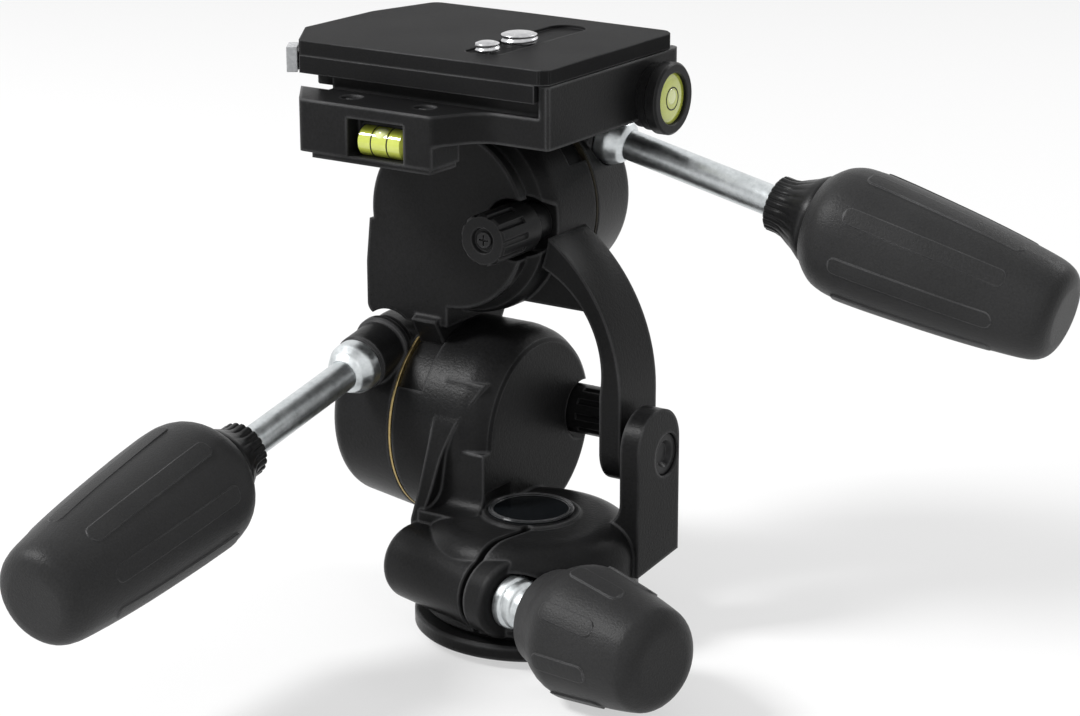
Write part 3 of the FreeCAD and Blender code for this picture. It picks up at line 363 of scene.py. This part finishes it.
def add_camera_screws(materials):
    """The 3/8 inch and 1/4 inch screws, whose studs stand out of the plate."""
    low = PLATE_TOP + NECK_GAP - SCREW_FOOT
    high = PLATE_TOP + STUD_HEIGHT - SCREW_FOOT - STUD_ROUND
    for size, radius, pitch, y in (("large", 0.00476, 0.00159, 0.0131), ("small", 0.00317, 0.00127, -0.0009)):
        name = "camera_screw_" + size
        mesh = threaded(name + "_thread", radius, pitch, low, high)
        finished(name + "_thread", mesh, standing(SCREW_X, y, SCREW_FOOT), "camera_" + size,
                 materials["steel"], (name,))


# ---------------------------------------------------------------- grips and knob, in millimetres
CORNER_ROUNDS = 2
RIB_COUNT = 8
RIB_WIDTH = 4.2
RIB_RISE = 0.4
RIB_LEAST = 0.3               # half width of a rib's tip
RIB_SIDE = 0.10               # run of a rib's steep side
RIB_LEAD = 0.12               # from a rib's end to the plain row beyond it
ROUND_ROWS = 4                # rows in the round end of a rib
PLAIN_STEPS = 5               # steps between two ribs
SINE_MOST = 0.9               # limits where the body is too thin for the rib
EDGE_MOST = 0.6               # of half the turn from rib to rib
SIDE_MOST = 0.2
GRIP_RIB_TURN = 12            # degrees
KNOB_RIB_TURN = 10
FLUTE_COUNT = 22
FLUTE_SEGMENTS = 8
FLUTE_DEPTH = 0.45
FLUTES_FULL = 51.0            # height up to which the flutes have their full depth
FLUTES_END = 58.0
NECK_BORE = 4.02


def cut_corners(profile):
    """Corner cutting on a (radius, height) outline, so that it stays inside the cornered one."""
    for _ in range(CORNER_ROUNDS):
        finer = [profile[0]]
        for (r0, h0), (r1, h1) in zip(profile, profile[1:]):
            finer.append((0.75 * r0 + 0.25 * r1, 0.75 * h0 + 0.25 * h1))
            finer.append((0.25 * r0 + 0.75 * r1, 0.25 * h0 + 0.75 * h1))
        finer.append(profile[-1])
        profile = finer
    return profile


def rib_rows(side, start, end):
    """The side's points, with more rows where the ribs start and end."""
    rounds = [RIB_WIDTH / 2 * k / ROUND_ROWS for k in range(1, ROUND_ROWS + 1)]
    heights = [start - RIB_LEAD, start] + [start + rise for rise in rounds]
    heights += [end - drop for drop in reversed(rounds)] + [end, end + RIB_LEAD]
    rows = []
    for height in heights:
        for (r0, h0), (r1, h1) in zip(side, side[1:]):
            if h0 < height <= h1:
                rows.append((r0 + (r1 - r0) * (height - h0) / (h1 - h0), height))
    return sorted(rows + side, key=lambda point: point[1])


def rib_ring(work, radius, height, start, end, fade, turn):
    """One row's vertices: for each rib its top between steep sides, and the plain body up to the next."""
    inside = min(height - start, end - height)
    half = RIB_WIDTH / 2
    if inside < half:
        half = math.sqrt(max(half * half - (half - inside) ** 2, 0.0)) if inside > 0 else 0.0
    rise = RIB_RISE * (1 - fade * (height - start) / (end - start)) if inside > 0 else 0.0
    step = math.pi / RIB_COUNT
    edge = min(math.asin(min(max(half, RIB_LEAST) / radius, SINE_MOST)), EDGE_MOST * step)
    foot = edge + min(RIB_SIDE / radius, SIDE_MOST * step)
    angles = [(-foot, 0.0), (-edge, 1.0), (-edge / 3, 1.0), (edge / 3, 1.0), (edge, 1.0), (foot, 0.0)]
    left = 2 * step - 2 * foot
    angles += [(foot + left * j / PLAIN_STEPS, 0.0) for j in range(1, PLAIN_STEPS)]
    ring = []
    for k in range(RIB_COUNT):
        middle = math.radians(turn + 360 * k / RIB_COUNT)
        for angle, share in angles:
            reach = (radius + rise * share) / MM_PER_M
            ring.append(work.verts.new((reach * math.cos(middle + angle), reach * math.sin(middle + angle),
                                        height / MM_PER_M)))
    return ring


def ribbed(name, profile, start, end, fade, turn):
    """Turned body with long raised ribs, crisp at their edges, whose height lowers by the share fade."""
    work = bmesh.new()
    side = [point for point in profile if point[0] > 0]
    rings = [ring_of(work, 0, profile[0][1] / MM_PER_M, 1)]
    for radius, height in rib_rows(side, start, end):
        rings.append(rib_ring(work, radius, height, start, end, fade, turn))
    rings.append(ring_of(work, 0, profile[-1][1] / MM_PER_M, 1))
    return joined_rings(name, work, rings)


def fluted(name, profile):
    """Turned sleeve with fine lengthwise flutes that run out towards its flare."""
    work = bmesh.new()
    rings = []
    segments = FLUTE_COUNT * FLUTE_SEGMENTS
    for radius, height in profile:
        share = min(max((FLUTES_END - height) / (FLUTES_END - FLUTES_FULL), 0.0), 1.0)
        depth = FLUTE_DEPTH * share if radius > NECK_BORE else 0.0
        ring = []
        for k in range(segments):
            angle = 2 * math.pi * k / segments
            groove = (0.5 - 0.5 * math.cos(FLUTE_COUNT * angle)) ** 4
            reach = (radius - depth * groove) / MM_PER_M
            ring.append(work.verts.new((reach * math.cos(angle), reach * math.sin(angle), height / MM_PER_M)))
        rings.append(ring)
    return joined_rings(name, work, rings)


def add_handles(materials):
    """Both grips with their ribs, and the fluted sleeves before them."""
    low = 61.0
    high = 128.3
    wide = 16.8
    grip = [(0, low), (11.8, low), (12.4, low + 0.4), (wide - 1.5, low + 3.6), (wide - 0.3, low + 7.0),
            (wide, low + 10.5), (wide, low + 14.0), (wide - 0.3, low + 22.0), (wide - 1.6, low + 43.0),
            (wide - 3.4, high - 8.0), (wide - 4.4, high - 3.2), (wide - 6.2, high - 0.9),
            (wide - 8.6, high - 0.1), (wide - 10.0, high), (0, high)]
    neck = [(NECK_BORE, 48.0), (6.6, 48.0), (7.2, 48.5), (7.2, 49.5), (7.2, 51.0), (7.6, 53.0), (8.6, 55.0),
            (9.8, 57.5), (11.4, 60.0), (11.4, 61.0)]
    for side, start, way in (("tilt", (-0.0470, -0.0119, 0.06225), (0.0482, -0.9857, -0.1616)),
                             ("lateral", (-0.0033, 0.0451, 0.11705), (0.9736, 0.0272, -0.2267))):
        place = standing(*start, way)
        body = side + "_handle"
        mesh = ribbed(side + "_grip_ribs", cut_corners(grip), low + 11.0, high - 13.0, 0.5, GRIP_RIB_TURN)
        finished(side + "_grip_ribs", mesh, place, body, materials["rubber_grip"],
                 (side + "_handle_grip",))
        finished(side + "_neck_flutes", fluted(side + "_neck_flutes", neck), place, body,
                 materials["plastic_black"], (side + "_handle_neck",))


def add_pan_knob(materials):
    """Rubber of the pan knob with its ribs, on the clamp's axis."""
    lean = math.radians(15)
    clamp_foot = Vector((-0.005383, -0.020091, 0.015))
    knob_reach = 0.0299
    knob = [(0, 0), (11.4, 0), (12.2, 0.8), (13.2, 4.9), (15.0, 7.9), (16.2, 10.7), (16.6, 13.4),
            (16.2, 16.4), (14.7, 28.0), (13.3, 35.6), (12.6, 37.6), (10.4, 39.7), (8.2, 40.5), (6.5, 40.6),
            (0, 40.6)]
    mesh = ribbed("pan_knob_ribs", cut_corners(knob), 12.0, 28.6, 0.0, KNOB_RIB_TURN)
    way = Vector((math.cos(lean), -math.sin(lean), 0))
    start = clamp_foot + way * knob_reach
    finished("pan_knob_ribs", mesh, standing(*start, way), "pan_knob", materials["rubber_grip"],
             ("pan_knob",))


# ---------------------------------------------------------------- deck, cap and levels
def add_deck_rim(materials):
    """Low rim along the deck's left side, under the plate's overhang and clear of the lever."""
    size = (0.0072, 0.0400, 0.0036)
    middle = (-0.0556, 0.0120, 0.13635)
    mesh = bpy.data.meshes.new("deck_rim")
    work = bmesh.new()
    bmesh.ops.create_cube(work, size=1.0)
    bmesh.ops.scale(work, vec=size, verts=work.verts)
    bmesh.ops.bevel(work, geom=work.edges[:], offset=0.0005, segments=3, profile=0.5, affect="EDGES")
    work.to_mesh(mesh)
    work.free()
    finished("deck_rim", mesh, Matrix.Translation(middle), "lateral", materials["cast_black"])


def add_pan_cap(materials):
    """Cap with fine ring steps round its dished middle."""
    seat = 0.0293
    rim = [(0, -0.0015), (0.0100, -0.0015), (0.0100, 0), (0.0110, 0), (0.0110, 0.0006), (0.01075, 0.0009),
           (0.0105, 0.0009), (0.01042, 0.00065), (0.0102, 0.00065), (0.0101, 0.00088), (0.00985, 0.00088),
           (0.00972, 0.00045), (0.0095, 0.0004), (0.005, 0.00042), (0, 0.00042)]
    finished("pan_cap_rings", lathe("pan_cap_rings", rim, 128), standing(0, 0, seat), "pan",
             materials["cap_gloss"], ("pan_cap",))


def add_level_piece(name, profile, spot, material, stands_for=(), segments=96):
    """One turned piece of a level, with its axis along X."""
    finished(name, lathe(name, profile, segments), standing(*spot, (1, 0, 0)), "lateral", material,
             stands_for)


def add_tube_vial(materials):
    """Level tube: liquid, two index lines and a bubble."""
    tube_x = -0.0153
    half_length = 0.007
    wing_front = -0.0452
    recess = 0.0052
    start = DATUM + Vector((tube_x - half_length, wing_front + recess, 0.1353))
    liquid = [(0, 0), (0.0030, 0), (0.00385, 0.0008), (0.00385, 0.0132), (0.0030, 0.0140), (0, 0.0140)]
    add_level_piece("tube_vial_liquid", liquid, start, materials["vial_yellow"], ("tube_vial",))
    line = [(0.00380, -0.00022), (0.00389, -0.00018), (0.00389, 0.00018), (0.00380, 0.00022)]
    for k, where in enumerate((0.0046, 0.0094)):
        add_level_piece("tube_vial_line_%d" % k, line, start + Vector((where, 0, 0)), materials["mark_black"])
    thick = 0.0019
    long = 0.0026
    steps = 16
    bubble = [(thick * math.sin(math.pi * i / steps), -long * math.cos(math.pi * i / steps))
              for i in range(1, steps)]
    add_level_piece("tube_vial_bubble", [(0, -long)] + bubble + [(0, long)],
                    start + Vector((half_length, -0.0016, 0.0020)), materials["bubble"], segments=48)


def add_round_level(materials):
    """Round level's domed window with its index ring and bubble."""
    centre = DATUM + Vector((0.0274, 0.0150, 0.1420))
    glass = [(0, 0.0015), (0.00653, 0.0015), (0.00653, 0.0049), (0.0060, 0.00515), (0.0045, 0.00535),
             (0.0025, 0.00547), (0, 0.0055)]
    add_level_piece("round_level_window", glass, centre, materials["vial_yellow"], ("round_level_glass",))
    ring = [(0.00268, 0.00540), (0.00268, 0.00552), (0.00298, 0.00551), (0.00298, 0.00538)]
    add_level_piece("round_level_ring", ring, centre, materials["mark_black"])
    bubble = [(0, 0.0050), (0.0016, 0.0050), (0.0021, 0.0053), (0.0018, 0.00562), (0.0008, 0.00572),
              (0, 0.00573)]
    add_level_piece("round_level_bubble", bubble, centre + Vector((0, -0.0004, 0.0006)), materials["bubble"],
                    segments=48)


# ---------------------------------------------------------------- light and floor
FLOOR_GREY = 0.93
FLOOR_SIZE = 6.0
FLOOR_WHITE_SHARE = 0.55      # of plain white in the floor, for rays that see it directly
WORLD_LIGHT = 0.42
LIGHT_AIM = (0, 0, 0.08)


def area_light(name, place, aim, size, power):
    """Soft rectangular lamp that points at the aim."""
    lamp = bpy.data.lights.new(name, "AREA")
    lamp.shape = "RECTANGLE"
    lamp.size = size[0]
    lamp.size_y = size[1]
    lamp.energy = power
    light = bpy.data.objects.new(name, lamp)
    light.location = place
    light.rotation_euler = (Vector(aim) - Vector(place)).to_track_quat("-Z", "Y").to_euler()
    scene.collection.objects.link(light)


def seen_directly(tree):
    """1 for camera, glossy and transmission rays, which see the plain white background."""
    path = node_of(tree, "ShaderNodeLightPath")
    first = node_of(tree, "ShaderNodeMath", operation="MAXIMUM")
    tree.links.new(path.outputs["Is Camera Ray"], first.inputs[0])
    tree.links.new(path.outputs["Is Glossy Ray"], first.inputs[1])
    second = node_of(tree, "ShaderNodeMath", operation="MAXIMUM")
    tree.links.new(first.outputs["Value"], second.inputs[0])
    tree.links.new(path.outputs["Is Transmission Ray"], second.inputs[1])
    return second.outputs["Value"]


def add_floor():
    """Pale floor that keeps the object's shadow and is part plain white where it is seen directly."""
    mesh = bpy.data.meshes.new("floor")
    work = bmesh.new()
    bmesh.ops.create_grid(work, x_segments=8, y_segments=8, size=FLOOR_SIZE)
    work.to_mesh(mesh)
    work.free()
    floor = bpy.data.objects.new("floor", mesh)
    floor.location = (0, 0, FLOOR)
    scene.collection.objects.link(floor)
    material = bpy.data.materials.new("floor")
    material.use_nodes = True
    tree = material.node_tree
    shader = tree.nodes["Principled BSDF"]
    shader.inputs["Base Color"].default_value = (FLOOR_GREY, FLOOR_GREY, FLOOR_GREY, 1)
    shader.inputs["Roughness"].default_value = 0.9
    shader.inputs["Specular IOR Level"].default_value = 0.1
    plain = node_of(tree, "ShaderNodeEmission")
    share = node_of(tree, "ShaderNodeMixShader")
    white = ramp(tree, seen_directly(tree), 0.0, 1.0, 0.0, FLOOR_WHITE_SHARE)
    tree.links.new(white, share.inputs["Fac"])
    tree.links.new(shader.outputs["BSDF"], share.inputs[1])
    tree.links.new(plain.outputs["Emission"], share.inputs[2])
    tree.links.new(share.outputs["Shader"], tree.nodes["Material Output"].inputs["Surface"])
    mesh.materials.append(material)


def add_lights():
    """White world, dimmer as a light than where it is seen directly, and three lamps."""
    world = bpy.data.worlds.new("world")
    scene.world = world
    world.use_nodes = True
    tree = world.node_tree
    background = tree.nodes["Background"]
    background.inputs["Color"].default_value = (1, 1, 1, 1)
    strength = ramp(tree, seen_directly(tree), 0.0, 1.0, WORLD_LIGHT, 1.0)
    tree.links.new(strength, background.inputs["Strength"])
    area_light("key", (-0.85, -0.75, 1.15), LIGHT_AIM, (0.40, 0.40), 24)
    area_light("side", (1.1, -0.9, 0.9), LIGHT_AIM, (0.2, 0.5), 1.3)
    area_light("back", (0.35, 0.95, 0.9), (0, 0, 0.1), (0.5, 0.25), 3.5)


add_camera()
materials = make_materials()
dress_nodes(materials)
add_camera_screws(materials)
add_handles(materials)
add_pan_knob(materials)
add_deck_rim(materials)
add_pan_cap(materials)
add_tube_vial(materials)
add_round_level(materials)
add_floor()
add_lights()
